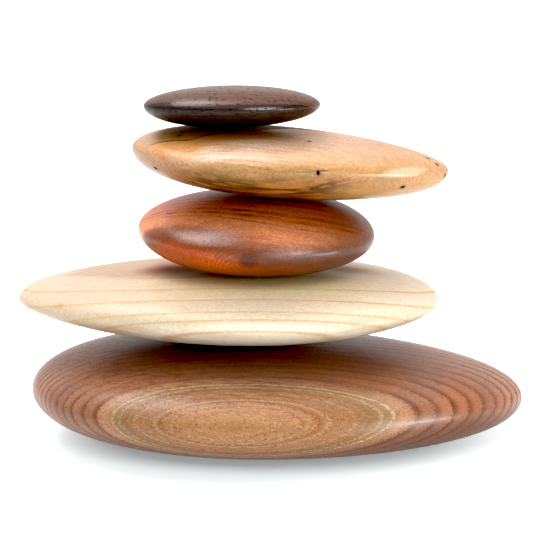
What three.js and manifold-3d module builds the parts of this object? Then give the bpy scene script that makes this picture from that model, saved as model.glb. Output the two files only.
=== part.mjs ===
// A cairn of five wooden pebbles, each shaped and sanded from one block of its own wood and resting on the
// one beneath it. From the bottom: walnut, ash, mahogany, maple with beetle holes, and rosewood.
// Millimetres, +Z up, +X to the right as seen from the front, +Y away from the front. The origin is on the
// surface that the cairn stands on, in the middle of the box round the whole cairn.
import * as THREE from "three";
import { mergeVertices } from "three/addons/utils/BufferGeometryUtils.js";
import Module from "manifold-3d";

const wasm = await Module();
wasm.setup();

// Driving dimensions. A pebble is a crown and a belly that meet at the rim of one egg-shaped plan.
//   length, width: across the rim, along X and along Y
//   crown, belly: height above the rim and depth below it, at the middle
//   fullness: 2 is round from the middle to the rim, and more is flatter in the middle
//   crownPeak, bellyPeak: share of a parabola in the profile, more peaked above 0 and flatter below it
//   planTaper, crownTaper, bellyTaper: growth of width, crown and belly from the middle to the +X end
//   lean: rise of the rim for each millimetre along X, and for each along Y
//   middle: where the middle of the rim stands over the surface, in X and Y
//   facets: faces round the rim, and rows of them from the lowest point to the highest one
const walnut = {
  name: "walnut_pebble",
  colour: 0x8d5b42,
  roughness: 0.42,
  length: 201.4,
  width: 147.2,
  crown: 20.3,
  belly: 19.4,
  fullness: 2.23,
  crownPeak: -0.18,
  bellyPeak: -0.33,
  planTaper: -0.21,
  crownTaper: -0.05,
  bellyTaper: -0.03,
  lean: [-0.026, -0.035],
  middle: [4.7, -2.4],
  facets: [56, 22],
};
const ash = {
  name: "ash_pebble",
  colour: 0xecd6b0,
  roughness: 0.5,
  length: 172.6,
  width: 120.0,
  crown: 12.9,
  belly: 16.5,
  fullness: 2.0,
  crownPeak: -0.24,
  bellyPeak: 0.46,
  planTaper: 0.12,
  crownTaper: 0.08,
  bellyTaper: 0.1,
  lean: [-0.005, -0.01],
  middle: [-15.5, 3.9],
  facets: [52, 20],
};
const mahogany = {
  name: "mahogany_pebble",
  colour: 0xa9532c,
  roughness: 0.4,
  length: 96.5,
  width: 79.8,
  crown: 14.8,
  belly: 14.5,
  fullness: 2.25,
  crownPeak: 0.09,
  bellyPeak: -0.16,
  planTaper: -0.02,
  crownTaper: 0.09,
  bellyTaper: -0.05,
  lean: [-0.038, 0.082],
  middle: [-4.0, 3.0],
  facets: [44, 20],
};
const maple = {
  name: "maple_pebble",
  colour: 0xd9a873,
  roughness: 0.45,
  length: 127.7,
  width: 86.0,
  crown: 11.9,
  belly: 15.3,
  fullness: 2.0,
  crownPeak: 0.06,
  bellyPeak: -0.21,
  planTaper: -0.31,
  crownTaper: -0.07,
  bellyTaper: -0.05,
  lean: [-0.078, -0.015],
  middle: [9.8, 1.1],
  facets: [48, 20],
};
const rosewood = {
  name: "rosewood_pebble",
  colour: 0x4b342e,
  roughness: 0.38,
  length: 70.3,
  width: 54.4,
  crown: 7.6,
  belly: 8.8,
  fullness: 2.1,
  crownPeak: 0.07,
  bellyPeak: 0,
  planTaper: -0.03,
  crownTaper: 0,
  bellyTaper: -0.045,
  lean: [0.008, -0.03],
  middle: [-13.7, -5.9],
  facets: [36, 18],
};

const restingGap = 0.3; // left between a pebble and the one that it rests on
const baseFlatCut = 0.8; // sanded off the lowest point of the walnut pebble, so that it stands firm

// Beetle holes in the maple pebble, each an oval bored square to the skin.
//   turn: degrees round the rim from +X, seen from above
//   climb: degrees up from the rim, or down where it is below 0
//   long, short: the oval's widths
//   roll: degrees from level to the long width
//   deep: how far the bore goes in
const beetleHoles = [
  { turn: -149, climb: -15, long: 1.7, short: 1.1, roll: 120, deep: 4 },
  { turn: -156, climb: 46, long: 2.2, short: 0.9, roll: 35, deep: 2.5 },
  { turn: -158, climb: 38, long: 1.6, short: 1.1, roll: 20, deep: 3 },
  { turn: -78, climb: 58, long: 1.5, short: 0.9, roll: 0, deep: 3 },
  { turn: -81, climb: 1, long: 1.7, short: 1.2, roll: 90, deep: 5 },
  { turn: -44, climb: -18, long: 2.2, short: 1.2, roll: 0, deep: 5 },
  { turn: -14, climb: 28, long: 1.7, short: 1.0, roll: 140, deep: 3 },
  { turn: -17, climb: 17, long: 1.5, short: 1.0, roll: 130, deep: 3 },
  { turn: -14, climb: -4, long: 1.6, short: 1.0, roll: 90, deep: 4 },
  { turn: 38, climb: 18, long: 1.6, short: 1.1, roll: 15, deep: 4 },
  { turn: 97, climb: -13, long: 1.9, short: 1.1, roll: 0, deep: 5 },
  { turn: 152, climb: 33, long: 1.5, short: 1.0, roll: 60, deep: 3 },
];
const holeFacets = 8;
const holeProud = 1; // how far outside the skin a bore starts

// A point of a pebble's skin, about the middle of its rim. turn goes round the plan from +X. climb runs from
// a quarter turn down, at the lowest point, through 0 at the rim to a quarter turn up.
function skinPoint(pebble, turn, climb) {
  const reach = Math.max(Math.cos(climb), 0) ** (2 / pebble.fullness);
  const along = reach * Math.cos(turn);
  const across = reach * Math.sin(turn);
  const rise = Math.sin(climb);
  const onCrown = rise > 0;
  const peak = onCrown ? pebble.crownPeak : pebble.bellyPeak;
  const taper = onCrown ? pebble.crownTaper : pebble.bellyTaper;
  const height = onCrown ? pebble.crown : pebble.belly;
  const profile = (1 - peak) * rise + peak * rise * Math.abs(rise);
  const x = (pebble.length / 2) * along;
  const y = (pebble.width / 2) * across * (1 + pebble.planTaper * along);
  const z = pebble.lean[0] * x + pebble.lean[1] * y + height * profile * (1 + taper * along);
  return new THREE.Vector3(x, y, z);
}

// A unit sphere with its poles on Z, pulled out to the pebble's skin.
function skinGeometry(pebble) {
  const [around, rows] = pebble.facets;
  const sphere = new THREE.SphereGeometry(1, around, rows).rotateX(Math.PI / 2);
  sphere.deleteAttribute("normal");
  sphere.deleteAttribute("uv");
  const geometry = mergeVertices(sphere, 1e-4);
  const points = geometry.getAttribute("position");
  for (let i = 0; i < points.count; i++) {
    const turn = Math.atan2(points.getY(i), points.getX(i));
    const climb = Math.asin(THREE.MathUtils.clamp(points.getZ(i), -1, 1));
    const onSkin = skinPoint(pebble, turn, climb);
    points.setXYZ(i, onSkin.x, onSkin.y, onSkin.z);
  }
  return geometry;
}

function toSolid(geometry) {
  const bare = geometry.clone();
  bare.deleteAttribute("normal");
  bare.deleteAttribute("uv");
  const merged = mergeVertices(bare, 1e-4);
  const vertProperties = new Float32Array(merged.getAttribute("position").array);
  const triVerts = new Uint32Array(merged.index.array);
  return new wasm.Manifold(new wasm.Mesh({ numProp: 3, vertProperties, triVerts }));
}

function toGeometry(solid) {
  const { vertProperties, triVerts } = solid.getMesh();
  const geometry = new THREE.BufferGeometry();
  geometry.setAttribute("position", new THREE.BufferAttribute(vertProperties, 3));
  geometry.setIndex(new THREE.BufferAttribute(triVerts, 1));
  geometry.computeVertexNormals();
  return geometry;
}

// The lowest point is sanded to a flat, which the whole cairn stands on.
function withBaseFlat(pebble, geometry) {
  geometry.computeBoundingBox();
  const flat = geometry.boundingBox.min.z + baseFlatCut;
  const slab = new THREE.BoxGeometry(pebble.length, pebble.width, pebble.belly);
  slab.translate(0, 0, flat - pebble.belly / 2);
  return toGeometry(toSolid(geometry).subtract(toSolid(slab)));
}

// An oval bore that runs square into the skin. Its level width is along the rim, before the roll.
function boreGeometry(pebble, hole) {
  const turn = THREE.MathUtils.degToRad(hole.turn);
  const climb = THREE.MathUtils.degToRad(hole.climb);
  const step = 1e-3;
  const mouth = skinPoint(pebble, turn, climb);
  const level = skinPoint(pebble, turn + step, climb).sub(mouth).normalize();
  const uphill = skinPoint(pebble, turn, climb + step).sub(mouth).normalize();
  const outward = level.clone().cross(uphill).normalize();
  uphill.crossVectors(outward, level);
  const height = hole.deep + holeProud;
  const bore = new THREE.CylinderGeometry(0.5, 0.5, height, holeFacets).rotateX(Math.PI / 2);
  bore.scale(hole.long, hole.short, 1);
  bore.rotateZ(THREE.MathUtils.degToRad(hole.roll));
  bore.translate(0, 0, holeProud - height / 2);
  bore.applyMatrix4(new THREE.Matrix4().makeBasis(level, uphill, outward));
  bore.translate(mouth.x, mouth.y, mouth.z);
  return bore;
}

function withBeetleHoles(pebble, geometry) {
  let solid = toSolid(geometry);
  for (const hole of beetleHoles) {
    solid = solid.subtract(toSolid(boreGeometry(pebble, hole)));
  }
  return toGeometry(solid);
}

function pebbleMesh(pebble, geometry) {
  const material = new THREE.MeshStandardMaterial({
    color: pebble.colour,
    roughness: pebble.roughness,
    metalness: 0,
  });
  const mesh = new THREE.Mesh(geometry, material);
  mesh.name = pebble.name;
  mesh.position.set(pebble.middle[0], pebble.middle[1], 0);
  return mesh;
}

// The least distance from the corners of one mesh to the other mesh, upwards or downwards.
function leastDistance(from, to, direction) {
  const ray = new THREE.Raycaster();
  const corners = from.geometry.getAttribute("position");
  const corner = new THREE.Vector3();
  let least = Infinity;
  for (let i = 0; i < corners.count; i++) {
    corner.fromBufferAttribute(corners, i).applyMatrix4(from.matrixWorld);
    ray.set(corner, direction);
    const [hit] = ray.intersectObject(to);
    if (hit) least = Math.min(least, hit.distance);
  }
  return least;
}

// Lowers a pebble from high above the one below it until only the resting gap is left between them.
function restOn(upper, lower) {
  const clearHeight = 1000;
  upper.position.z = clearHeight;
  upper.updateMatrixWorld(true);
  lower.updateMatrixWorld(true);
  const down = leastDistance(upper, lower, new THREE.Vector3(0, 0, -1));
  const up = leastDistance(lower, upper, new THREE.Vector3(0, 0, 1));
  upper.position.z -= Math.min(down, up) - restingGap;
}

function makeCairn() {
  const cairn = new THREE.Group();
  const base = pebbleMesh(walnut, withBaseFlat(walnut, skinGeometry(walnut)));
  base.geometry.computeBoundingBox();
  base.position.z = -base.geometry.boundingBox.min.z;
  cairn.add(base);
  const upperPebbles = [
    pebbleMesh(ash, skinGeometry(ash)),
    pebbleMesh(mahogany, skinGeometry(mahogany)),
    pebbleMesh(maple, withBeetleHoles(maple, skinGeometry(maple))),
    pebbleMesh(rosewood, skinGeometry(rosewood)),
  ];
  let lower = base;
  for (const upper of upperPebbles) {
    restOn(upper, lower);
    cairn.add(upper);
    lower = upper;
  }
  const middle = new THREE.Box3().setFromObject(cairn).getCenter(new THREE.Vector3());
  cairn.position.set(-middle.x, -middle.y, 0);
  return cairn;
}

const cairn = makeCairn();
export default cairn;
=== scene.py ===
import math

import bpy
import numpy as np
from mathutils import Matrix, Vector


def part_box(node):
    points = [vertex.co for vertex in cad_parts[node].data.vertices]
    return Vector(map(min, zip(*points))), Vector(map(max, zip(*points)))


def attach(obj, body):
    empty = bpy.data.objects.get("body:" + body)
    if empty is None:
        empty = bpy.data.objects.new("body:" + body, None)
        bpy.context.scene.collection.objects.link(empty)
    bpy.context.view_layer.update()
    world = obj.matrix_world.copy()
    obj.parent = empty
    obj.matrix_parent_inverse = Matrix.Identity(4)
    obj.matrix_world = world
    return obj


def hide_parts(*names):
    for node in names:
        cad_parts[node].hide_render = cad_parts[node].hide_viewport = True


# A cairn of five wooden pebbles. From the bottom up: walnut, ash, mahogany, maple and rosewood.
# Sizes of the wood's features are in millimetres from the middle of each pebble's rim.
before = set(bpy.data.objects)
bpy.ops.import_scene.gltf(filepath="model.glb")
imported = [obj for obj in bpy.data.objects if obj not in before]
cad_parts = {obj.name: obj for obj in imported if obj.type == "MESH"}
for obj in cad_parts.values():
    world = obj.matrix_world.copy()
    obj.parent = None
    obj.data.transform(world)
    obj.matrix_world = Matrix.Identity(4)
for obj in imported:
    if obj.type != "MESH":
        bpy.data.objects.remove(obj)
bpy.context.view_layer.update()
scene = bpy.context.scene
mm = 0.001
print("frame loaded")


# Shapes

def asVector(values):
    return np.array(values, dtype=float)


# Height of a half lens: a sphere's rise, with peak moving weight from the shoulders to the crown.
# The skin runs along and across as cos(climb) to the power 2 / fullness, turned round by turn.
def pebbleSkin(shape, turn, climb):
    reach = np.cos(climb).clip(0) ** (2 / shape["fullness"])
    along = reach * np.cos(turn)
    across = reach * np.sin(turn)
    rise = np.sin(climb)
    upper = rise > 0
    height = np.where(upper, shape["crown"], shape["belly"])
    peak = np.where(upper, shape["crownPeak"], shape["bellyPeak"])
    taper = np.where(upper, shape["crownTaper"], shape["bellyTaper"])
    x = shape["length"] / 2 * along
    y = shape["width"] / 2 * across * (1 + shape["planTaper"] * along)
    z = height * ((1 - peak) * rise + peak * rise * np.abs(rise)) * (1 + taper * along)
    z = z + shape["lean"][0] * x + shape["lean"][1] * y
    return np.stack([x, y, z], axis=-1)


# A hand-sanded surface is never quite even: three slow waves, summed, that only ever take wood away.
def handSanded(points, depth, seed):
    x, y, z = points[:, 0], points[:, 1], points[:, 2]
    waves = np.sin(x / 9.1 + 1.3 * seed) * np.sin(y / 7.3 + 2.1 * seed)
    waves = waves + 0.6 * np.sin(x / 5.2 - y / 8.0 + seed) + 0.4 * np.sin(z / 3.1 + x / 13.0 + 4 * seed)
    outward = points / np.linalg.norm(points, axis=1).clip(1e-6)[:, None]
    return points - outward * (depth * (waves / 4 + 0.5))[:, None]


# The faces between rings of points, each ring with the same number of points around.
def ringQuads(rings, around):
    column = np.arange(around)
    following = (column + 1) % around
    row = (np.arange(rings - 1) * around)[:, None]
    above = row + around
    quads = np.stack([row + column, row + following, above + following, above + column], axis=-1)
    return quads.reshape(-1, 4)


# Rings of points from the lower pole to the upper one, with one point and a fan at each pole.
def lensGrid(shape):
    around, rows = shape["grid"]
    climbs = np.linspace(-math.pi / 2, math.pi / 2, rows + 1)[1:-1]
    turns = np.arange(around) * 2 * math.pi / around
    climb, turn = np.meshgrid(climbs, turns, indexing="ij")
    body = pebbleSkin(shape, turn.ravel(), climb.ravel())
    poles = pebbleSkin(shape, np.zeros(2), asVector([-math.pi / 2, math.pi / 2]))
    points = np.vstack([body, poles])
    column = np.arange(around)
    following = (column + 1) % around
    last = (rows - 2) * around
    south = np.full(around, len(points) - 2)
    north = np.full(around, len(points) - 1)
    lowerFan = np.stack([south, following, column], axis=-1)
    upperFan = np.stack([north, last + column, last + following], axis=-1)
    faces = ringQuads(rows - 1, around).tolist() + lowerFan.tolist() + upperFan.tolist()
    return points, faces


# The smooth skin is fitted just inside the CAD node's box. Returns the points and the rim's middle in metres,
# and the scale along each axis.
def fitToNode(points, nodeName, inset=0.04):
    low, high = (asVector(corner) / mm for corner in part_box(nodeName))
    low = low + inset * asVector([1, 1, 0])
    high = high - inset
    skinLow, skinHigh = points.min(axis=0), points.max(axis=0)
    scale = (high - low) / (skinHigh - skinLow)
    middle = low - skinLow * scale
    return (points * scale + middle) * mm, middle * mm, scale


def makeMesh(name, points, faces):
    mesh = bpy.data.meshes.new(name)
    mesh.from_pydata(points.tolist(), [], faces)
    mesh.shade_smooth()
    piece = bpy.data.objects.new(name, mesh)
    scene.collection.objects.link(piece)
    return piece


def makePebble(shape):
    points, faces = lensGrid(shape)
    points = handSanded(points, shape["sanding"], shape["seed"])
    sole = points[:, 2].min() + shape.get("soleCut", 0)
    points[:, 2] = np.maximum(points[:, 2], sole)
    points, middle, scale = fitToNode(points, shape["node"])
    piece = makeMesh(shape["piece"], points, faces)
    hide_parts(shape["node"])
    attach(piece, "root")
    print(shape["piece"], "made,", len(faces), "faces")
    return piece, middle, scale


# Node helpers

def addNode(tree, kind, inputs=None, **settings):
    node = tree.nodes.new(kind)
    for name, value in settings.items():
        setattr(node, name, value)
    for name, value in (inputs or {}).items():
        socket = node.inputs[name]
        if isinstance(value, bpy.types.NodeSocket):
            tree.links.new(value, socket)
        else:
            socket.default_value = value
    return node


def maths(tree, operation, first, second=0.0):
    node = addNode(tree, "ShaderNodeMath", {0: first, 1: second}, operation=operation)
    return node.outputs[0]


def vectors(tree, operation, first, second=(0, 0, 0), output=0, **inputs):
    node = addNode(tree, "ShaderNodeVectorMath", {0: first, 1: second, **inputs}, operation=operation)
    return node.outputs[output]


# Value from low to high becomes 0 to 1, with soft ends.
def fade(tree, value, low, high):
    node = addNode(tree, "ShaderNodeMapRange", {"Value": value, "From Min": low, "From Max": high},
                   interpolation_type="SMOOTHSTEP")
    return node.outputs["Result"]


# Value from low to high becomes first to second, in a straight line.
def stretch(tree, value, low, high, first, second):
    node = addNode(tree, "ShaderNodeMapRange", {"Value": value, "From Min": low, "From Max": high,
                                                "To Min": first, "To Max": second})
    return node.outputs["Result"]


def fadeOut(tree, value, low, high):
    return maths(tree, "SUBTRACT", 1.0, fade(tree, value, low, high))


# Moves a value by up to reach either way, as a streak value round 0.5 says.
def fray(tree, value, streak, reach):
    return maths(tree, "ADD", value, stretch(tree, streak, 0.2, 0.8, -reach, reach))


# 1 within inner of a value, 0 beyond outer.
def nearTo(tree, value, at, inner, outer):
    away = maths(tree, "ABSOLUTE", maths(tree, "SUBTRACT", value, at))
    return fadeOut(tree, away, inner, outer)


# The part that all the masks share.
def overlap(tree, *masks):
    shared = masks[0]
    for mask in masks[1:]:
        shared = maths(tree, "MULTIPLY", shared, mask)
    return shared


def noise(tree, vector, scale, detail=2.0, roughness=0.5, output="Fac"):
    node = addNode(tree, "ShaderNodeTexNoise", {"Vector": vector, "Scale": scale, "Detail": detail,
                                                "Roughness": roughness})
    return node.outputs[output]


# A Mix node's factor is its input 0, its two colours are inputs 6 and 7, and the mixed colour is output 2.
def blend(tree, factor, first, second, mode="MIX"):
    node = addNode(tree, "ShaderNodeMix", {0: factor, 6: first, 7: second}, data_type="RGBA", blend_type=mode)
    return node.outputs[2]


# Colours are written as they look on a screen, 0 to 255.
def tone(red, green, blue):
    shares = asVector([red, green, blue]) / 255
    linear = np.where(shares <= 0.04045, shares / 12.92, ((shares + 0.055) / 1.055) ** 2.4)
    return (*linear.tolist(), 1.0)


# A colour ramp over a measured value: stops are (value, colour).
def colourScale(tree, value, stops):
    low, high = stops[0][0], stops[-1][0]
    share = stretch(tree, value, low, high, 0, 1)
    node = addNode(tree, "ShaderNodeValToRGB", {"Fac": share})
    ramp = node.color_ramp
    for at, colour in stops[1:-1]:
        ramp.elements.new((at - low) / (high - low)).color = colour
    ramp.elements[0].color = stops[0][1]
    ramp.elements[-1].color = stops[-1][1]
    return node.outputs["Color"]


# inputs are (name, kind, first value); outputs are (name, kind).
def startGroup(name, inputs, outputs):
    group = bpy.data.node_groups.new(name, "ShaderNodeTree")
    for label, kind, value in inputs:
        socket = group.interface.new_socket(label, in_out="INPUT", socket_type="NodeSocket" + kind)
        socket.default_value = value
    for label, kind in outputs:
        group.interface.new_socket(label, in_out="OUTPUT", socket_type="NodeSocket" + kind)
    return group, group.nodes.new("NodeGroupInput").outputs


def endGroup(group, **results):
    end = group.nodes.new("NodeGroupOutput")
    for label, socket in results.items():
        group.links.new(socket, end.inputs[label])
    return group


def place(tree, group, inputs):
    return addNode(tree, "ShaderNodeGroup", inputs, node_tree=group).outputs


def newMaterial(name):
    material = bpy.data.materials.new(name)
    material.use_nodes = True
    return material, material.node_tree, material.node_tree.nodes["Principled BSDF"]


# Shared wood effects

# Where a point lies in the trunk: millimetres from the rim's middle, from the pith and along the grain.
def makeTrunkSpace():
    group, given = startGroup("trunkSpace", [
        ("Position", "Vector", (0, 0, 0)), ("Middle", "Vector", (0, 0, 0)), ("Pith", "Vector", (0, 0, 0)),
        ("Grain", "Vector", (1, 0, 0)), ("Wander", "Float", 1.0)],
        [("Local", "Vector"), ("Radius", "Float"), ("Along", "Float")])
    offset = vectors(group, "SUBTRACT", given["Position"], given["Middle"])
    local = vectors(group, "SCALE", offset, Scale=1 / mm)
    grain = vectors(group, "NORMALIZE", given["Grain"])
    slow = vectors(group, "MULTIPLY", local, (0.35, 1, 1))
    swirl = noise(group, slow, 0.045, detail=1.0, output="Color")
    centred = vectors(group, "SUBTRACT", swirl, (0.5, 0.5, 0.5))
    shift = vectors(group, "SCALE", centred, Scale=given["Wander"])
    fromPith = vectors(group, "SUBTRACT", vectors(group, "ADD", local, shift), given["Pith"])
    radius = vectors(group, "LENGTH", vectors(group, "CROSS_PRODUCT", fromPith, grain), output=1)
    along = vectors(group, "DOT_PRODUCT", local, grain, output=1)
    return endGroup(group, Local=local, Radius=radius, Along=along)


# What every group that follows the grain takes in.
grainInputs = [("Local", "Vector", (0, 0, 0)), ("Grain", "Vector", (1, 0, 0)), ("Along", "Float", 0.0),
               ("Length", "Float", 10.0)]


# Squeezes space along the grain, so that a round pattern comes out Length long and Width wide.
def makeGrainSpace():
    group, given = startGroup("grainSpace", grainInputs + [("Width", "Float", 1.0)], [("Vector", "Vector")])
    grain = vectors(group, "NORMALIZE", given["Grain"])
    share = maths(group, "SUBTRACT", maths(group, "DIVIDE", given["Width"], given["Length"]), 1.0)
    pull = vectors(group, "SCALE", grain, Scale=maths(group, "MULTIPLY", share, given["Along"]))
    short = vectors(group, "ADD", given["Local"], pull)
    vector = vectors(group, "SCALE", short, Scale=maths(group, "DIVIDE", 1.0, given["Width"]))
    return endGroup(group, Vector=vector)


# Year rings from the radius Start: Shade rises through each year, Line is the thin late wood at its end,
# and Year is a random value for each.
def makeYearRings():
    group, given = startGroup("yearRings", [
        ("Radius", "Float", 0.0), ("Start", "Float", 0.0), ("Spacing", "Float", 3.0),
        ("Uneven", "Float", 0.5)], [("Shade", "Float"), ("Line", "Float"), ("Year", "Float")])
    beyond = maths(group, "SUBTRACT", given["Radius"], given["Start"])
    count = maths(group, "DIVIDE", beyond, given["Spacing"])
    drift = addNode(group, "ShaderNodeTexNoise", {"W": count, "Scale": 0.37, "Detail": 2.0},
                    noise_dimensions="1D").outputs["Fac"]
    uneven = maths(group, "MULTIPLY", maths(group, "SUBTRACT", drift, 0.5), given["Uneven"])
    years = maths(group, "ADD", count, maths(group, "MULTIPLY", uneven, 4.0))
    share = maths(group, "FRACT", years)
    year = addNode(group, "ShaderNodeTexWhiteNoise", {"W": maths(group, "FLOOR", years)},
                   noise_dimensions="1D").outputs["Value"]
    rising = fade(group, share, 0.45, 0.92)
    falling = fadeOut(group, share, 0.93, 1.0)
    line = maths(group, "MULTIPLY", rising, falling)
    return endGroup(group, Shade=maths(group, "MULTIPLY", share, falling), Line=line, Year=year)


# The squeezed place of a point in a group that takes in grainInputs.
def squeezed(group, given, width):
    inputs = {label: given[label] for label, *others in grainInputs}
    return place(group, grainSpace, {**inputs, "Width": width})["Vector"]


# Streaks of fibre, Length long and Width wide: a soft value round 0.5.
def makeFibre():
    group, given = startGroup("fibre", grainInputs + [("Width", "Float", 1.0), ("Detail", "Float", 2.0)],
                              [("Value", "Float")])
    where = squeezed(group, given, given["Width"])
    return endGroup(group, Value=noise(group, where, 1.0, detail=given["Detail"], roughness=0.55))


# Pores: long thin vessels, cut to dashes on the sides and dots on the ends. Amount is the share present.
def makePores():
    group, given = startGroup("pores", grainInputs + [
        ("Spacing", "Float", 1.2), ("Size", "Float", 0.15), ("Amount", "Float", 0.5)], [("Mask", "Float")])
    where = squeezed(group, given, given["Spacing"])
    cells = addNode(group, "ShaderNodeTexVoronoi", {"Vector": where, "Scale": 1.0})
    reach = maths(group, "MULTIPLY", cells.outputs["Distance"], given["Spacing"])
    inside = fadeOut(group, maths(group, "DIVIDE", reach, given["Size"]), 0.6, 1.4)
    chance = addNode(group, "ShaderNodeSeparateColor", {"Color": cells.outputs["Color"]}).outputs["Red"]
    present = maths(group, "LESS_THAN", chance, given["Amount"])
    return endGroup(group, Mask=maths(group, "MULTIPLY", inside, present))


# A soft-edged patch, with Reach as its half sizes and Ragged roughening its edge.
def makePatch():
    group, given = startGroup("patch", [
        ("Local", "Vector", (0, 0, 0)), ("Place", "Vector", (0, 0, 0)), ("Reach", "Vector", (1, 1, 1)),
        ("Soft", "Float", 0.3), ("Ragged", "Float", 0.2), ("Scale", "Float", 0.3)], [("Mask", "Float")])
    offset = vectors(group, "SUBTRACT", given["Local"], given["Place"])
    distance = vectors(group, "LENGTH", vectors(group, "DIVIDE", offset, given["Reach"]), output=1)
    rough = maths(group, "SUBTRACT", noise(group, given["Local"], given["Scale"], detail=3.0), 0.5)
    edge = maths(group, "ADD", distance, maths(group, "MULTIPLY", rough, given["Ragged"]))
    inner = maths(group, "SUBTRACT", 1.0, given["Soft"])
    outer = maths(group, "ADD", 1.0, given["Soft"])
    return endGroup(group, Mask=fadeOut(group, edge, inner, outer))


trunkSpace = makeTrunkSpace()
grainSpace = makeGrainSpace()
yearRings = makeYearRings()
fibre = makeFibre()
pores = makePores()
patch = makePatch()
print("wood effects ready")


def placeInGrain(tree, group, space, wood, **settings):
    return place(tree, group, {"Local": space["Local"], "Grain": wood["grain"], "Along": space["Along"],
                               **settings})


# kind is the name of a streak in the wood's dictionary.
def grainStreaks(tree, space, wood, kind):
    length, width, detail = wood[kind]
    return placeInGrain(tree, fibre, space, wood, Length=length, Width=width, Detail=detail)["Value"]


# Lightens and darkens a colour by a streak value round 0.5.
def streaked(tree, colour, streak, strength):
    factor = stretch(tree, streak, 0.25, 0.75, 1 - strength, 1 + strength)
    grey = addNode(tree, "ShaderNodeCombineColor", {"Red": factor, "Green": factor, "Blue": factor})
    return blend(tree, 1.0, colour, grey.outputs["Color"], "MULTIPLY")


# Lays a second colour over the first where the mask says.
def laid(tree, colour, mask, strength, over):
    return blend(tree, maths(tree, "MULTIPLY", mask, strength), colour, over)


# A thin line at one radius, soft on both sides.
def ringLine(tree, radius, at, halfWidth):
    return nearTo(tree, radius, at, halfWidth * 0.3, halfWidth)


# Such lines at several radii, broken up by a mask.
def brokenLines(tree, colour, radius, lines, broken, over):
    for at, halfWidth, strength in lines:
        line = overlap(tree, ringLine(tree, radius, at, halfWidth), broken)
        colour = laid(tree, colour, line, strength, over)
    return colour


# The soft dotted tail that starts at a ring's edge and dies away over width.
def ringTail(tree, radius, at, width):
    beyond = maths(tree, "SUBTRACT", radius, at)
    started = maths(tree, "GREATER_THAN", beyond, 0.0)
    return overlap(tree, started, fadeOut(tree, beyond, 0.0, width))


# Lines that curve round a centre, as in a curl of figure.
def curlLines(tree, space, streak, centre, spacing, uneven):
    away = vectors(tree, "LENGTH", vectors(tree, "SUBTRACT", space["Local"], centre), output=1)
    return place(tree, yearRings, {"Radius": fray(tree, away, streak, reach=0.6), "Start": 0.0,
                                   "Spacing": spacing, "Uneven": uneven})["Line"]


# The point's x, y and z from the rim's middle.
def localAxes(tree, space):
    return addNode(tree, "ShaderNodeSeparateXYZ", {0: space["Local"]}).outputs


# A spot is a patch's middle, its half sizes and its edge, which is how soft, how ragged and how finely so.
def spotMask(tree, space, spot):
    centre, reach, (soft, ragged, scale) = spot[:3]
    return place(tree, patch, {"Local": space["Local"], "Place": centre, "Reach": reach, "Soft": soft,
                               "Ragged": ragged, "Scale": scale})["Mask"]


# A spot that is laid on ends with its strength and its colour.
def spotted(tree, space, colour, spot):
    return laid(tree, colour, spotMask(tree, space, spot), *spot[3:])


# The wood's streaks and pores over its colour. Returns the new colour and the pores' mask.
def grained(tree, space, wood, colour, streaks, amount):
    for streak, strength in zip(streaks, wood["streakStrengths"]):
        colour = streaked(tree, colour, streak, strength)
    length, spacing, size = wood["pores"]
    dashes = placeInGrain(tree, pores, space, wood, Length=length, Spacing=spacing, Size=size,
                          Amount=amount)["Mask"]
    return laid(tree, colour, dashes, wood["poreStrength"], wood["poreColour"]), dashes


# Where pores and dry wood keep the oil off the skin.
def dulled(tree, wood, dashes, dry):
    return maths(tree, "MAXIMUM", dashes, maths(tree, "MULTIPLY", dry, wood["dryness"]))


# What all five share: how far fibre changes the roughness, how much rougher a pore is, and fibre's relief.
allWoods = {"unevenness": 0.06, "poreRoughness": 0.25, "fibreRelief": 0.03}


# figure gives the wood's colour, its fibre and where it is dull. What is dull has less oil and is sunk.
def woodMaterial(wood, figure, middle):
    material, tree, shader = newMaterial(wood["slot"] + "Wood")
    position = addNode(tree, "ShaderNodeTexCoord").outputs["Object"]
    space = place(tree, trunkSpace, {"Position": position, "Middle": tuple(middle), "Pith": wood["pith"],
                                     "Grain": wood["grain"], "Wander": wood["wander"]})
    hairs = noise(tree, space["Local"], 1 / wood["grit"])
    colour, fibreValue, dull = figure(tree, space, wood, hairs)
    tree.links.new(colour, shader.inputs["Base Color"])
    smoothest = wood["roughness"] - allWoods["unevenness"]
    roughest = wood["roughness"] + allWoods["unevenness"]
    rough = stretch(tree, fibreValue, 0.25, 0.75, smoothest, roughest)
    rough = maths(tree, "ADD", rough, maths(tree, "MULTIPLY", dull, allWoods["poreRoughness"]))
    tree.links.new(rough, shader.inputs["Roughness"])
    shader.inputs["Specular IOR Level"].default_value = wood["bareGloss"]
    shader.inputs["Coat Roughness"].default_value = wood["oilRoughness"]
    tree.links.new(stretch(tree, dull, 0, 1, wood["oil"], 0.0), shader.inputs["Coat Weight"])
    relief = maths(tree, "SUBTRACT", maths(tree, "MULTIPLY", fibreValue, allWoods["fibreRelief"]),
                   maths(tree, "MULTIPLY", dull, wood["poreRelief"]))
    bump = addNode(tree, "ShaderNodeBump", {"Strength": 1.0, "Distance": mm, "Height": relief})
    tree.links.new(bump.outputs["Normal"], shader.inputs["Normal"])
    return material


# In each wood's dictionary a streak is (length, width, detail) and pores are (length, spacing, size).
# Colours are (radius from the pith, colour), and lines are (radius, half width, strength).

# Walnut, the widest, at the bottom

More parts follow.
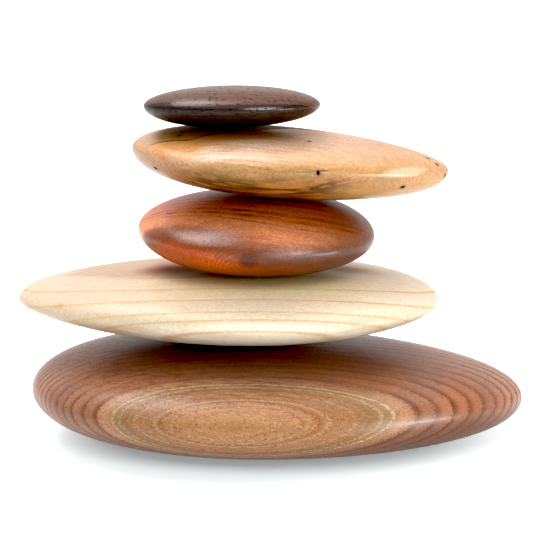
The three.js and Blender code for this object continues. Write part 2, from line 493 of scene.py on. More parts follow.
walnut = {
    "node": "walnut_pebble", "piece": "walnutPebble", "slot": "walnut",
    "length": 201.4, "width": 147.2, "crown": 20.3, "belly": 19.4, "fullness": 2.23,
    "crownPeak": -0.18, "bellyPeak": -0.33, "planTaper": -0.21, "crownTaper": -0.05, "bellyTaper": -0.03,
    "lean": (-0.026, -0.035), "soleCut": 0.8, "grid": (400, 150), "sanding": 0.10, "seed": 1,
    "pith": (0, 60, -63.1), "grain": (1, -0.028, -0.147), "wander": 1.6,
    "roughness": 0.48, "bareGloss": 0.22, "oil": 0.48, "oilRoughness": 0.25, "dryness": 0.85,
    "poreRelief": 0.10,
    "shimmer": (2.4, 0.5, 3.0), "broad": (60.0, 6.0, 2.0), "fine": (30.0, 1.1, 3.0), "grit": 0.6,
    "streakStrengths": (0.26, 0.22, 0.10),
    "pores": (1.5, 0.5, 0.13), "poreAmount": (0.25, 0.8), "poreStrength": 0.55,
    "poreColour": tone(70, 38, 26),
    "colours": [
        (90.0, tone(178, 120, 88)), (112.0, tone(170, 118, 92)), (121.0, tone(146, 98, 74)),
        (128.0, tone(158, 108, 80)), (133.5, tone(154, 102, 74)), (135.6, tone(158, 108, 78)),
        (138.2, tone(178, 130, 94)), (139.6, tone(154, 118, 84)), (141.6, tone(146, 110, 74)),
        (143.5, tone(158, 113, 78)), (147.0, tone(166, 118, 80)), (150.0, tone(176, 128, 86))],
    "ringStart": 125.1, "ringSpacing": 3.8, "ringColour": tone(70, 37, 25),
    "sapSpacing": 1.15, "sapColour": tone(116, 66, 32),
    "paleLines": [(139.8, 0.4, 0.5), (141.2, 0.35, 0.3), (143.8, 0.3, 0.2), (146.4, 0.3, 0.2),
                  (147.9, 0.3, 0.15)],
    "paleColour": tone(208, 186, 146),
    "heartAndAshShade": ((-2, -14, 20), (66, 42, 10), (0.5, 0.4, 0.05), 0.65, tone(100, 52, 28)),
    "orangeGlow": ((72, -38, 7), (9, 14, 8), (0.6, 0.4, 0.1), 0.45, tone(178, 104, 56)),
    "bellyShade": ((70, -44, -8), (44, 30, 8), (0.6, 0.3, 0.05), 0.7, tone(90, 48, 28)),
    "paintedSheen": ((48, -58, 2.4), (22, 12, 1.9), (0.9, 0.3, 0.2), 0.24, tone(206, 182, 172)),
    "dryPatch": ((22, -67, 4.5), (18, 9, 7), (0.6, 0.2, 0.2)),
}


def walnutFigure(tree, space, wood, hairs):
    shimmer = grainStreaks(tree, space, wood, "shimmer")
    broad = grainStreaks(tree, space, wood, "broad")
    # each ring's edge is frayed by its pores
    frayed = fray(tree, fray(tree, space["Radius"], shimmer, reach=0.45), hairs, reach=0.55)
    base = colourScale(tree, frayed, wood["colours"])
    # a redder heart over the crown, made darker there as painted shade under the ash, one orange glow at the
    # right, and painted shade towards the belly
    for name in ("heartAndAshShade", "orangeGlow", "bellyShade"):
        base = spotted(tree, space, base, wood[name])
    height = localAxes(tree, space)["Z"]
    # painted shade: darker all along the belly
    base = laid(tree, base, fadeOut(tree, height, -7.0, 1.0), 0.5, tone(106, 62, 32))
    # fine dark streaks over the crown, where the rings are cut too flat to show
    fine = fade(tree, grainStreaks(tree, space, wood, "fine"), 0.46, 0.64)
    crown = fade(tree, height, 10.0, 16.0)
    base = laid(tree, base, overlap(tree, crown, fine), 0.5, tone(84, 44, 26))
    rings = place(tree, yearRings, {"Radius": frayed, "Start": wood["ringStart"],
                                    "Spacing": wood["ringSpacing"], "Uneven": 0.06})
    heart = fadeOut(tree, space["Radius"], 135.0, 137.5)
    ringDepth = overlap(tree, rings["Line"], heart, stretch(tree, rings["Year"], 0, 1, 0.5, 1.0),
                        stretch(tree, crown, 0, 1, 1.0, 0.4))
    base = laid(tree, base, ringDepth, 0.95, wood["ringColour"])
    # the sapwood's own fine rings
    years = place(tree, yearRings, {"Radius": frayed, "Start": 0.0, "Spacing": wood["sapSpacing"],
                                    "Uneven": 0.12})
    sap = fade(tree, space["Radius"], 139.0, 142.0)
    yearDepth = overlap(tree, years["Line"], sap, stretch(tree, years["Year"], 0, 1, 0.1, 0.8))
    base = laid(tree, base, yearDepth, 0.9, wood["sapColour"])
    # dotted pale lines: two where the sapwood begins, and fainter ones within
    dots = fade(tree, shimmer, 0.30, 0.60)
    wavering = fray(tree, space["Radius"], broad, reach=0.3)
    base = brokenLines(tree, base, wavering, wood["paleLines"], dots, wood["paleColour"])
    # the pores crowd together towards each ring's end
    crowd = stretch(tree, rings["Shade"], 0, 1, *wood["poreAmount"])
    base, dashes = grained(tree, space, wood, base, (shimmer, hairs, broad), crowd)
    # a painted highlight low on the right, and a dry patch in the sapwood beside it
    base = spotted(tree, space, base, wood["paintedSheen"])
    return base, shimmer, dulled(tree, wood, dashes, spotMask(tree, space, wood["dryPatch"]))


# Ash, pale and thin

ash = {
    "node": "ash_pebble", "piece": "ashPebble", "slot": "ash",
    "length": 172.6, "width": 120.0, "crown": 12.9, "belly": 16.5, "fullness": 2.0,
    "crownPeak": -0.24, "bellyPeak": 0.46, "planTaper": 0.12, "crownTaper": 0.08, "bellyTaper": 0.1,
    "lean": (-0.005, -0.01), "grid": (400, 150), "sanding": 0.10, "seed": 2,
    "pith": (0, 13.0, 140.0), "grain": (1, 0.021, -0.007), "wander": 0.8,
    "roughness": 0.48, "bareGloss": 0.12, "oil": 0.4, "oilRoughness": 0.2, "dryness": 0.85,
    "poreRelief": 0.05,
    "flecks": (2.4, 0.6, 3.0), "broad": (70.0, 4.0, 2.0), "wobble": (45.0, 4.0, 2.0), "grit": 0.7,
    "streakStrengths": (0.13, 0.11, 0.05),
    "pores": (2.0, 0.7, 0.16), "poreAmount": 0.35, "poreStrength": 0.25, "poreColour": tone(186, 144, 92),
    # the palest colours, at the largest radii low on the belly, are partly painted light from the floor below
    "colours": [
        (118.0, tone(200, 169, 139)), (128.0, tone(208, 178, 149)), (131.4, tone(200, 166, 132)),
        (132.6, tone(230, 209, 184)), (138.0, tone(230, 209, 182)), (146.0, tone(220, 202, 175)),
        (154.0, tone(215, 200, 172)), (157.0, tone(246, 232, 206)), (160.0, tone(252, 242, 218))],
    "ringLines": [(137.6, 0.5, 0.60), (143.7, 0.5, 0.65), (149.9, 0.5, 0.60), (153.5, 0.5, 0.60),
                  (157.8, 0.5, 0.50)],
    "ringColour": tone(212, 162, 102), "tailWidth": 2.2, "tailShare": 0.8, "tailColour": tone(214, 174, 118),
    # a dark heart streak on each side of the crown, the left one deepened as painted shade under the
    # mahogany, and between them an olive tint painted as the mahogany's shadow
    "heartStreaksAndShade": [
        ((-21, -5, 12.3), (13, 9, 4), (0.7, 0.6, 0.12), 0.85, tone(150, 96, 48)),
        ((50, 1, 11), (11, 7, 3), (0.7, 0.6, 0.12), 0.35, tone(150, 96, 48)),
        ((16, -24, 12), (36, 16, 8), (0.8, 0.5, 0.08), 0.75, tone(240, 226, 162))],
    "knot": ((-66.1, -33.1, 3.7), (3.2, 2.0, 1.0), (0.6, 0.8, 0.8), 0.4, tone(196, 140, 84)),
}


def ashFigure(tree, space, wood, hairs):
    radius = space["Radius"]
    flecks = grainStreaks(tree, space, wood, "flecks")
    broad = grainStreaks(tree, space, wood, "broad")
    edge = fray(tree, radius, grainStreaks(tree, space, wood, "wobble"), reach=0.9)
    base = colourScale(tree, edge, wood["colours"])
    # the heart fades out towards the right, and the left end is duller
    axes = localAxes(tree, space)
    sapRight = overlap(tree, fade(tree, axes["X"], 16.0, 50.0), fade(tree, axes["Z"], 1.0, 5.0))
    base = laid(tree, base, sapRight, 0.8, tone(244, 224, 196))
    base = laid(tree, base, fadeOut(tree, axes["X"], -66.0, -10.0), 0.4, tone(200, 172, 148))
    frayed = fray(tree, radius, flecks, reach=0.35)
    dotted = fade(tree, hairs, 0.42, 0.6)
    for at, halfWidth, strength in wood["ringLines"]:
        base = laid(tree, base, ringLine(tree, frayed, at, halfWidth), strength, wood["ringColour"])
        tail = overlap(tree, ringTail(tree, frayed, at, wood["tailWidth"]), dotted)
        base = laid(tree, base, tail, strength * wood["tailShare"], wood["tailColour"])
    dry = 0.0
    # dark heart streaks, and the mahogany's painted shadow
    for cast in wood["heartStreaksAndShade"]:
        mask = spotMask(tree, space, cast)
        base = laid(tree, base, mask, *cast[3:])
        dry = maths(tree, "MAXIMUM", mask, dry)
    base = spotted(tree, space, base, wood["knot"])
    base, dashes = grained(tree, space, wood, base, (flecks, hairs, broad), wood["poreAmount"])
    # where the heart streaks and the painted shadow lie, the skin keeps less oil
    return base, flecks, dulled(tree, wood, dashes, dry)


# Mahogany, small and thick, in the middle

mahogany = {
    "node": "mahogany_pebble", "piece": "mahoganyPebble", "slot": "mahogany",
    "length": 96.5, "width": 79.8, "crown": 14.8, "belly": 14.5, "fullness": 2.25,
    "crownPeak": 0.09, "bellyPeak": -0.16, "planTaper": -0.02, "crownTaper": 0.09, "bellyTaper": -0.05,
    "lean": (-0.038, 0.082), "grid": (360, 150), "sanding": 0.07, "seed": 3,
    "pith": (0, -32.2, -25.2), "grain": (1, 0.05, -0.164), "wander": 1.6,
    "roughness": 0.42, "bareGloss": 0.2, "oil": 0.6, "oilRoughness": 0.26,
    "poreRelief": 0.12,
    "shimmer": (1.6, 0.5, 3.0), "ribbon": (26.0, 2.4, 3.0), "grit": 0.6,
    "streakStrengths": (0.26, 0.22, 0.16),
    "pores": (1.3, 0.75, 0.15), "poreAmount": 0.4, "poreStrength": 0.55, "poreColour": tone(70, 28, 14),
    "colours": [
        (4.0, tone(140, 70, 30)), (11.0, tone(154, 76, 30)), (15.0, tone(176, 76, 26)),
        (18.8, tone(178, 76, 28)), (21.6, tone(140, 74, 42)), (24.2, tone(134, 76, 50)),
        (26.8, tone(168, 98, 66)), (29.2, tone(236, 152, 106)), (33.0, tone(244, 156, 108)),
        (36.0, tone(248, 142, 88)), (40.0, tone(252, 142, 86)), (46.0, tone(240, 132, 80)),
        (60.0, tone(220, 118, 72))],
    "darkLines": [(33.4, 0.4, 0.5), (35.6, 0.9, 0.65), (37.8, 1.0, 0.7), (40.6, 0.6, 0.45),
                  (43.5, 0.8, 0.5), (47.0, 0.8, 0.45), (52.0, 0.8, 0.45)],
    "darkColour": tone(104, 46, 24),
    # painted highlights: a pale pinkish sheen on the left shoulder and low on the right
    "paintedSheens": [
        ((-19, -33, 3.7), (11, 8, 2.4), (0.8, 0.3, 0.2), 0.8, tone(222, 186, 176)),
        ((14, -37.8, -2.0), (9, 7, 1.7), (0.8, 0.3, 0.2), 0.22, tone(222, 186, 176))],
    # a curl of figure low on the front: its middle, ring spacing and unevenness, and where it shows
    "curl": ((-6.0, -38, -11.0), 1.5, 0.4),
    "curlSpot": ((-14.5, -37.5, -5.0), (8, 8, 3.2), (0.5, 0.8, 0.25), 0.38, tone(206, 130, 74)),
    "blotch": ((-3.0, -39.3, -5.0), (3.6, 8, 2.6), (0.6, 1.4, 0.5), 0.8, tone(80, 40, 24)),
}


def mahoganyFigure(tree, space, wood, hairs):
    shimmer = grainStreaks(tree, space, wood, "shimmer")
    ribbon = grainStreaks(tree, space, wood, "ribbon")
    axes = localAxes(tree, space)
    radius = fray(tree, space["Radius"], shimmer, reach=0.5)
    base = colourScale(tree, radius, wood["colours"])
    # soft broken streaks
    broken = fade(tree, ribbon, 0.36, 0.60)
    base = brokenLines(tree, base, radius, wood["darkLines"], broken, wood["darkColour"])
    # the right end is a darker brown, and the lower right is darkened further as painted shade
    rightEnd = fade(tree, axes["X"], 4.0, 42.0)
    base = laid(tree, base, rightEnd, 0.85, tone(98, 54, 34))
    lowerRightShade = overlap(tree, fade(tree, axes["X"], -18.0, 6.0), fadeOut(tree, axes["Z"], -5.0, 3.0))
    base = laid(tree, base, lowerRightShade, 0.7, tone(86, 53, 38))
    # the painted highlights
    for paintedSheen in wood["paintedSheens"]:
        base = spotted(tree, space, base, paintedSheen)
    arcs = overlap(tree, spotMask(tree, space, wood["curlSpot"]),
                   curlLines(tree, space, shimmer, *wood["curl"]))
    base = laid(tree, base, arcs, *wood["curlSpot"][3:])
    base = spotted(tree, space, base, wood["blotch"])
    base, dashes = grained(tree, space, wood, base, (shimmer, hairs, ribbon), wood["poreAmount"])
    return base, shimmer, dashes


# Maple, long and leaning, with beetle holes

maple = {
    "node": "maple_pebble", "piece": "maplePebble", "slot": "maple",
    "length": 127.7, "width": 86.0, "crown": 11.9, "belly": 15.3, "fullness": 2.0,
    "crownPeak": 0.06, "bellyPeak": -0.21, "planTaper": -0.31, "crownTaper": -0.07, "bellyTaper": -0.05,
    "lean": (-0.078, -0.015), "grid": (440, 180), "sanding": 0.07, "seed": 4,
    "pith": (0, -20, -120), "grain": (1, 0, -0.078), "wander": 5.0,
    "roughness": 0.46, "bareGloss": 0.25, "oil": 0.48, "oilRoughness": 0.22, "dryness": 0.9,
    "poreRelief": 0.04,
    "flecks": (1.6, 0.5, 3.0), "streaks": (26.0, 1.6, 4.0), "mottle": (12.0, 5.0, 2.0), "grit": 0.7,
    "streakStrengths": (0.19, 0.20),
    "pores": (1.5, 0.8, 0.14), "poreAmount": 0.35, "poreStrength": 0.35, "poreColour": tone(150, 92, 48),
    # the dark browns at the smallest radii, low on the front, are partly painted shade over the brown figure
    "colours": [
        (105.0, tone(60, 34, 10)), (111.0, tone(66, 38, 12)), (115.5, tone(72, 42, 14)),
        (118.6, tone(122, 78, 34)), (121.8, tone(190, 140, 84)), (124.2, tone(210, 164, 112)),
        (126.5, tone(218, 176, 140)), (129.0, tone(212, 170, 138)), (134.0, tone(212, 170, 138))],
    "shoulder": ((-28, -37, 9), (24, 12, 5), (0.7, 0.3, 0.1), 0.7, tone(240, 208, 182)),
    "leftTip": ((-60, 0, 0), (20, 60, 30), (0.6, 0.4, 0.1), 0.6, tone(214, 166, 128)),
    "rightTip": ((62, 0, 0), (20, 60, 30), (0.6, 0.4, 0.1), 0.6, tone(214, 166, 128)),
    "underRightLight": ((42, -20, -9), (30, 30, 8), (0.5, 0.4, 0.1), 0.6, tone(204, 156, 100)),
    "specks": ((-12, -44, 0.0), (30, 12, 4.2), (0.6, 0.6, 0.2), 0.25, tone(168, 132, 78)),
    "paleLens": ((-2, -40.6, -4.6), (11, 12, 1.7), (0.35, 0.4, 0.3), 0.6, tone(186, 122, 62)),
    "greyBlotch": ((38, -27, -4.6), (5.5, 7, 1.8), (0.6, 0.8, 0.3), 0.5, tone(164, 130, 84)),
    "flameAndHighlight": ((44, -23.5, -2.2), (11, 9, 1.7), (0.4, 0.7, 0.25), 0.6, tone(236, 214, 178)),
    # a curl at the right and bends at the left: middle, ring spacing and unevenness, and where they show
    "curl": ((40.5, -26, -7.5), 1.5, 0.3),
    "curlSpot": ((38, -27, -5), (15, 12, 5), (0.5, 0.4, 0.2), 0.5, tone(158, 102, 50)),
    "bends": ((-22, -40, 14), 2.1, 0.5),
    "bendSpot": ((-44, -35, 0), (15, 14, 6), (0.5, 0.5, 0.2), 0.7, tone(158, 98, 52)),
    "crack": ((9.0, -41, 0.7), (6.5, 5, 0.42), (0.4, 0.7, 0.5), 0.7, tone(74, 48, 26)),
    # the dark line's way over the crown: (x, y) seen from above, y within lineReach of 0
    "darkLine": [(-60, -20), (-55.7, -21.5), (-48.5, -23.5), (-39.5, -25.5), (-33.8, -21.3), (-27.6, -17.8),
                 (-19.4, -13.7), (-11.5, -9.7), (-0.3, -1.4), (14, 4), (34, 12)],
    "lineReach": 40.0,
}

# Each beetle hole: turn and climb in degrees, long and short size, roll of the oval, depth.
beetleHoles = [
    (-149, -15, 2.0, 1.3, 120, 4.0), (-161, 45, 2.4, 1.1, 60, 2.5), (-153, 39, 1.9, 1.2, 60, 3.0),
    (-78, 58, 1.5, 0.9, 0, 3.0), (-81, 1, 1.7, 1.2, 90, 5.0), (-44, -18, 2.2, 1.2, 0, 5.0),
    (-14, 28, 1.7, 1.0, 140, 3.0), (-17, 17, 1.5, 1.0, 130, 3.0), (-14, -4, 1.6, 1.0, 90, 4.0),
    (38, 18, 1.6, 1.1, 15, 4.0), (97, -13, 1.9, 1.1, 0, 5.0), (152, 33, 1.5, 1.0, 60, 3.0),
]

# How all the holes are cut and stained. frassScale counts specks to the metre.
bores = {
    "around": 20, "proud": 1.0, "ragged": 0.12, "sharpAngle": 40,
    "stainReach": 0.9, "stainStrength": 0.75, "frassScale": 1800.0, "roughness": 0.9,
}


# The middle of a hole's mouth and the three ways from it: level, up the skin, and outward.
def boreFrame(shape, turn, climb):
    step = 1e-3
    mouth, level, uphill = (pebbleSkin(shape, asVector([turn + a]), asVector([climb + b]))[0]
                            for a, b in ((0, 0), (step, 0), (0, step)))
    level = (level - mouth) / np.linalg.norm(level - mouth)
    outward = np.cross(level, uphill - mouth)
    outward = outward / np.linalg.norm(outward)
    return mouth, level, np.cross(outward, level), outward


# One bore: a round-ended tube square to the skin, oval, with a slightly uneven wall. Heights and widths run
# from just outside the mouth to the end.
def borePoints(shape, hole, middle, fitScale):
    turn, climb, long, short, roll, deep = hole
    turn, climb, roll = np.radians([turn, climb, roll])
    mouth, level, uphill, outward = boreFrame(shape, turn, climb)
    turns = np.arange(bores["around"]) * 2 * math.pi / bores["around"]
    heights = asVector([bores["proud"], 0.4, 0.0, -0.3, -0.9, 0.4 - deep, 0.1 - deep, -deep])
    widths = asVector([1.05, 1.05, 1.0, 0.97, 0.93, 0.85, 0.6, 0.02])
    uneven = 1 + bores["ragged"] * (np.sin(3 * turns + deep) + 0.6 * np.sin(5 * turns + long)) / 2
    across = widths[:, None] * (uneven * np.cos(turns))[None, :] * long / 2
    along = widths[:, None] * (uneven * np.sin(turns))[None, :] * short / 2
    u = across * math.cos(roll) - along * math.sin(roll)
    v = across * math.sin(roll) + along * math.cos(roll)
    points = mouth + u[..., None] * level + v[..., None] * uphill + heights[:, None, None] * outward
    return (points.reshape(-1, 3) * fitScale) * mm + middle


def boreHoles(pebble, shape, middle, fitScale):
    around = bores["around"]
    mouth = np.arange(around)
    points, faces = [], []
    for hole in beetleHoles:
        tube = borePoints(shape, hole, middle, fitScale)
        first = sum(len(part) for part in points)
        # the rings run inwards, so their quads are turned over
        quads = np.roll(ringQuads(len(tube) // around, around)[:, ::-1], 1, axis=1)
        faces += (quads + first).tolist()
        faces.append((mouth + first).tolist())
        faces.append((mouth[::-1] + first + len(tube) - around).tolist())
        points.append(tube)
    cutter = makeMesh("beetleBores", np.vstack(points), faces)
    cutter.data.materials.append(holeMaterial())
    modifier = pebble.modifiers.new("beetleHoles", "BOOLEAN")
    modifier.operation = "DIFFERENCE"
    modifier.solver = "EXACT"
    modifier.object = cutter
    modifier.material_mode = "TRANSFER"
    graph = bpy.context.evaluated_depsgraph_get()
    bored = bpy.data.meshes.new_from_object(pebble.evaluated_get(graph), depsgraph=graph)
    pebble.modifiers.clear()
    pebble.data = bored
    bpy.data.objects.remove(cutter)
    bored.set_sharp_from_angle(angle=math.radians(bores["sharpAngle"]))
    stainRims(bored, shape, middle, fitScale)
    print("beetle holes bored,", len(bored.polygons), "faces")


# How dark each point is stained: most at a hole's mouth, gone a short way outside it.
def stainRims(mesh, shape, middle, fitScale):
    places = np.empty(len(mesh.vertices) * 3)
    mesh.vertices.foreach_get("co", places)
    places = places.reshape(-1, 3)
    stain = np.zeros(len(places))
    for turn, climb, long, short, *others in beetleHoles:
        mouth = pebbleSkin(shape, asVector([math.radians(turn)]), asVector([math.radians(climb)]))[0]
        away = np.linalg.norm(places - (mouth * fitScale * mm + middle), axis=1) / mm - (long + short) / 4
        fading = (1 - away / bores["stainReach"]).clip(0, 1)
        stain = np.maximum(stain, bores["stainStrength"] * fading)
    attribute = mesh.attributes.new("stain", "FLOAT", "POINT")
    attribute.data.foreach_set("value", stain)


def holeMaterial():
    material, tree, shader = newMaterial("boredWood")
    position = addNode(tree, "ShaderNodeTexCoord").outputs["Object"]
    frass = noise(tree, position, bores["frassScale"])
    tree.links.new(blend(tree, frass, tone(20, 13, 9), tone(58, 38, 24)), shader.inputs["Base Color"])
    shader.inputs["Roughness"].default_value = bores["roughness"]
    return material


# Distance from a traced line y(x), positive on its far side.
def beyondLine(tree, axes, points, reach, streak):
    low, high = points[0][0], points[-1][0]
    share = stretch(tree, axes["X"], low, high, 0, 1)
    curve = addNode(tree, "ShaderNodeFloatCurve", {"Value": share})
    line = curve.mapping.curves[0]
    shares = [((x - low) / (high - low), (y + reach) / (2 * reach)) for x, y in points]
    line.points[0].location, line.points[-1].location = shares[0], shares[-1]
    for along, across in shares[1:-1]:
        line.points.new(along, across)
    curve.mapping.update()
    edge = stretch(tree, curve.outputs["Value"], 0, 1, -reach, reach)
    return fray(tree, maths(tree, "SUBTRACT", axes["Y"], edge), streak, reach=0.8)


# The spalted part of the crown, behind its dark wavy line, with amber in front of it.
def spalted(tree, axes, wood, base, streaks):
    beyond = beyondLine(tree, axes, wood["darkLine"], wood["lineReach"], streaks)
    zone = overlap(tree, fade(tree, axes["Z"], 4.0, 7.0), fadeOut(tree, axes["X"], 8.0, 26.0),
                   fadeOut(tree, axes["Y"], 12.0, 26.0), fade(tree, axes["X"], -58.0, -50.0))
    amber = nearTo(tree, beyond, -6.0, 4.0, 12.0)
    base = laid(tree, base, overlap(tree, amber, zone), 0.75, tone(212, 140, 66))
    spalt = overlap(tree, fade(tree, beyond, -0.3, 0.8), zone)
    inward = fade(tree, axes["X"], -48.0, -36.0)
    base = laid(tree, base, spalt, 0.9, blend(tree, inward, tone(170, 122, 58), tone(188, 136, 74)))
    dark = nearTo(tree, beyond, 0.0, 0.2, 0.9)
    return laid(tree, base, overlap(tree, dark, zone), 0.85, tone(58, 34, 18)), spalt


def mapleFigure(tree, space, wood, hairs):
    flecks = grainStreaks(tree, space, wood, "flecks")
    streaks = grainStreaks(tree, space, wood, "streaks")
    axes = localAxes(tree, space)
    level = fray(tree, space["Radius"], grainStreaks(tree, space, wood, "mottle"), reach=2.0)
    base = colourScale(tree, level, wood["colours"])
    base = streaked(tree, base, streaks, 0.24)
    base = laid(tree, base, fade(tree, axes["X"], 14.0, 48.0), 0.5, tone(194, 138, 86))
    # a painted sheen on the left shoulder, pinker tips, and painted light from below under the right
    for name in ("shoulder", "leftTip", "rightTip", "underRightLight"):
        base = spotted(tree, space, base, wood[name])
    # thin tan lines that follow the grain
    base = laid(tree, base, fade(tree, streaks, 0.50, 0.60), 0.5, tone(192, 128, 74))
    # olive specks in a loose band along the front
    band = spotMask(tree, space, wood["specks"])
    base = laid(tree, base, band, *wood["specks"][3:])
    clusters = overlap(tree, band, fade(tree, streaks, 0.44, 0.56), fade(tree, hairs, 0.42, 0.56))
    base = laid(tree, base, clusters, 0.6, tone(112, 78, 36))
    # a paler lens in the dark lower figure, and a whitish flame at the right, partly a painted highlight,
    # over a grey-tan blotch
    for name in ("paleLens", "greyBlotch", "flameAndHighlight"):
        base = spotted(tree, space, base, wood[name])
    # brown lines that curl at the right and bend round the left end
    arcs = overlap(tree, curlLines(tree, space, flecks, *wood["curl"]),
                   spotMask(tree, space, wood["curlSpot"]), fade(tree, hairs, 0.4, 0.6))
    base = laid(tree, base, arcs, *wood["curlSpot"][3:])
    bends = overlap(tree, curlLines(tree, space, flecks, *wood["bends"]),
                    spotMask(tree, space, wood["bendSpot"]), fade(tree, streaks, 0.4, 0.6))
    base = laid(tree, base, bends, *wood["bendSpot"][3:])
    base, spalt = spalted(tree, axes, wood, base, streaks)
    # a crack through the hole at the front
    base = spotted(tree, space, base, wood["crack"])
    stain = addNode(tree, "ShaderNodeAttribute", attribute_name="stain").outputs["Fac"]
    base = laid(tree, base, stain, 0.85, tone(30, 20, 14))
    base, dashes = grained(tree, space, wood, base, (flecks, hairs), wood["poreAmount"])
    # the spalted wood drinks its oil and stays dull, like the pores
    return base, flecks, dulled(tree, wood, dashes, spalt)


# Rosewood, the smallest, on top

rosewood = {
    "node": "rosewood_pebble", "piece": "rosewoodPebble", "slot": "rosewood",
    "length": 70.3, "width": 54.4, "crown": 7.6, "belly": 8.8, "fullness": 2.1,
    "crownPeak": 0.07, "bellyPeak": 0.0, "planTaper": -0.03, "crownTaper": 0.0, "bellyTaper": -0.045,
    "lean": (0.008, -0.03), "grid": (320, 130), "sanding": 0.05, "seed": 5,
    "pith": (0, -23.4, -30.0), "grain": (1, -0.041, -0.012), "wander": 1.2,
    "roughness": 0.40, "bareGloss": 0.16, "oil": 0.38, "oilRoughness": 0.13,
    "poreRelief": 0.12,
    "shimmer": (5.0, 0.35, 3.0), "ribbon": (30.0, 1.0, 3.0), "grit": 0.6,
    "streakStrengths": (0.40, 0.20, 0.18),
    "pores": (2.6, 0.95, 0.24), "poreAmount": 0.55, "poreStrength": 0.95, "poreColour": tone(9, 5, 4),
    # the darkest colours, at the smallest radii on the belly, are partly painted shade
    "colours": [
        (22.0, tone(20, 16, 14)), (26.0, tone(42, 34, 29)), (29.0, tone(46, 36, 29)),
        (31.0, tone(50, 37, 29)), (33.0, tone(88, 54, 36)), (40.0, tone(118, 80, 58))],
    "layerSpacing": 0.85, "layerColour": tone(14, 8, 6), "warmColour": tone(66, 50, 40),
    # painted highlights: a pale pinkish sheen on the left shoulder and one thin highlight streak at the right
    "paintedSheens": [
        ((-15, -22.5, 3.6), (9, 6, 1.1), (0.7, 0.4, 0.4), 0.24, tone(176, 158, 152)),
        ((12.5, -25, 1.3), (6.5, 4, 0.45), (0.7, 0.4, 0.4), 0.55, tone(176, 158, 152))],
}


def rosewoodFigure(tree, space, wood, hairs):
    shimmer = grainStreaks(tree, space, wood, "shimmer")
    ribbon = grainStreaks(tree, space, wood, "ribbon")
    radius = fray(tree, space["Radius"], shimmer, reach=0.25)
    base = colourScale(tree, radius, wood["colours"])
    # dark layers, with warmer streaks between them below the rim
    layers = place(tree, yearRings, {"Radius": radius, "Start": 0.3, "Spacing": wood["layerSpacing"],
                                     "Uneven": 0.5})
    depth = stretch(tree, layers["Year"], 0, 1, 0.2, 0.95)
    base = laid(tree, base, overlap(tree, layers["Line"], depth), 0.85, wood["layerColour"])
    below = overlap(tree, fadeOut(tree, radius, 30.5, 32.0), fade(tree, radius, 25.5, 27.5))
    warm = overlap(tree, fade(tree, ribbon, 0.46, 0.60), below)
    base = laid(tree, base, warm, 0.5, wood["warmColour"])
    # the painted highlights
    for paintedSheen in wood["paintedSheens"]:
        base = spotted(tree, space, base, paintedSheen)
    base, dashes = grained(tree, space, wood, base, (shimmer, ribbon, hairs), wood["poreAmount"])
    return base, shimmer, dashes


for shape, figure in ((walnut, walnutFigure), (ash, ashFigure), (mahogany, mahoganyFigure),
                      (maple, mapleFigure), (rosewood, rosewoodFigure)):
    pebble, rimMiddle, fitScale = makePebble(shape)
    pebble.data.materials.append(woodMaterial(shape, figure, rimMiddle))
    if shape is maple:
        boreHoles(pebble, shape, rimMiddle, fitScale)
print("pebbles dressed")


# Studio

studio = {
    "floorSize": 40.0, "floorTone": (0.82, 0.86, 0.87, 1), "floorRoughness": 0.8,
    # (distance from the cairn's middle, glow) of the floor as the camera sees it, the low glow near the cairn
    # being a painted shadow, and its share in other rays
    "floorGlowAndShadow": [(0.0, 0.10), (0.044, 0.31), (0.056, 0.68), (0.10, 0.62), (0.45, 1.0)], "glowShare": 0.36,
    "glowOval": (0.62, 1, 1), "glowColour": (0.88, 0.98, 1, 1),
    "frontSky": 0.45, "backSky": 0.80, "backdropEdge": (-0.1, 0.6),
    "aim": (0.0, 0.0, 0.07), "deepestShade": 0.03,
}

# name: power, size, place and colour of each softbox
softboxes = {
    "overheadSoftbox": (17.0, (2.0, 2.0), (-0.05, -0.15, 1.25), (1, 1, 1)),
    "leftSoftbox": (4.6, (0.62, 0.62), (-0.32, 0.17, 1.0), (1, 0.98, 0.98)),
    "rightSoftbox": (1.3, (0.16, 0.14), (0.46, -0.63, 0.28), (0.95, 0.97, 1)),
    "lowRightSoftbox": (0.70, (0.18, 0.06), (0.44, -0.25, 0.035), (0.95, 0.97, 1)),
}


def aimed(thing, target):
    heading = Vector(target) - thing.location
    thing.rotation_euler = heading.to_track_quat("-Z", "Y").to_euler()


def addSoftbox(name, power, size, position, colour):
    light = bpy.data.lights.new(name, "AREA")
    light.energy = power
    light.shape = "RECTANGLE"
    light.size, light.size_y = size
    light.color = colour
    lamp = bpy.data.objects.new(name, light)
    lamp.location = position
    scene.collection.objects.link(lamp)
    aimed(lamp, studio["aim"])
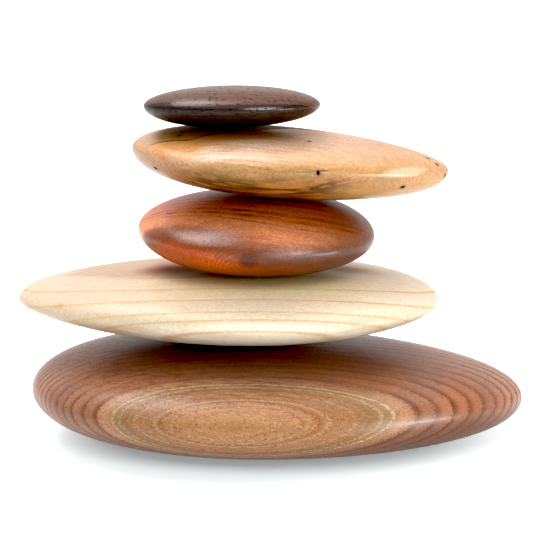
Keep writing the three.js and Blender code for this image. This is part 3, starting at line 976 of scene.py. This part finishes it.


# The floor is lit up like a white cove: its own glow grows with distance from the cairn, so the dim glow
# close to it paints the shadow under the cairn.
def makeFloor():
    half = studio["floorSize"] / 2
    corners = asVector([[-half, -half, 0], [half, -half, 0], [half, half, 0], [-half, half, 0]])
    floor = makeMesh("floor", corners, [[0, 1, 2, 3]])
    material, tree, shader = newMaterial("whiteFloor")
    shader.inputs["Base Color"].default_value = studio["floorTone"]
    shader.inputs["Roughness"].default_value = studio["floorRoughness"]
    shader.inputs["Specular IOR Level"].default_value = 0.0
    shader.inputs["Emission Color"].default_value = studio["glowColour"]
    position = addNode(tree, "ShaderNodeTexCoord").outputs["Object"]
    away = vectors(tree, "LENGTH", vectors(tree, "MULTIPLY", position, studio["glowOval"]), output=1)
    levels = [(distance, (level, level, level, 1)) for distance, level in studio["floorGlowAndShadow"]]
    glow = colourScale(tree, away, levels)
    seen = addNode(tree, "ShaderNodeLightPath").outputs["Is Camera Ray"]
    share = stretch(tree, seen, 0, 1, studio["glowShare"], 1)
    tree.links.new(maths(tree, "MULTIPLY", glow, share), shader.inputs["Emission Strength"])
    floor.data.materials.append(material)


# The sky is a bright backdrop behind the cairn and dimmer in front of it. The camera sees it plain white.
def makeSky():
    world = bpy.data.worlds.new("studioSky")
    scene.world = world
    world.use_nodes = True
    tree = world.node_tree
    background = tree.nodes["Background"]
    background.inputs["Color"].default_value = (1, 1, 1, 1)
    heading = addNode(tree, "ShaderNodeTexCoord").outputs["Generated"]
    depth = addNode(tree, "ShaderNodeSeparateXYZ", {0: heading}).outputs["Y"]
    behind = fade(tree, depth, *studio["backdropEdge"])
    light = stretch(tree, behind, 0, 1, studio["frontSky"], studio["backSky"])
    seen = addNode(tree, "ShaderNodeLightPath").outputs["Is Camera Ray"]
    tree.links.new(maths(tree, "MAXIMUM", light, seen), background.inputs["Strength"])


makeFloor()
makeSky()
for softboxName, settings in softboxes.items():
    addSoftbox(softboxName, *settings)
view = scene.view_settings
view.view_transform = "Standard"
view.use_curve_mapping = True
view.curve_mapping.black_level = (studio["deepestShade"],) * 3
view.curve_mapping.update()
print("studio lit")


# Camera

camera = {"target": (-0.00175, 0.0024, 0.070), "pitch": 11.74, "distance": 0.70, "lens": 115.63}


def makeCamera():
    data = bpy.data.cameras.new("camera")
    data.lens = camera["lens"]
    pitch = math.radians(camera["pitch"])
    eye = bpy.data.objects.new("camera", data)
    backwards = Vector((0, -math.cos(pitch), math.sin(pitch)))
    eye.location = Vector(camera["target"]) + camera["distance"] * backwards
    scene.collection.objects.link(eye)
    aimed(eye, camera["target"])
    scene.camera = eye


makeCamera()
print("camera set")
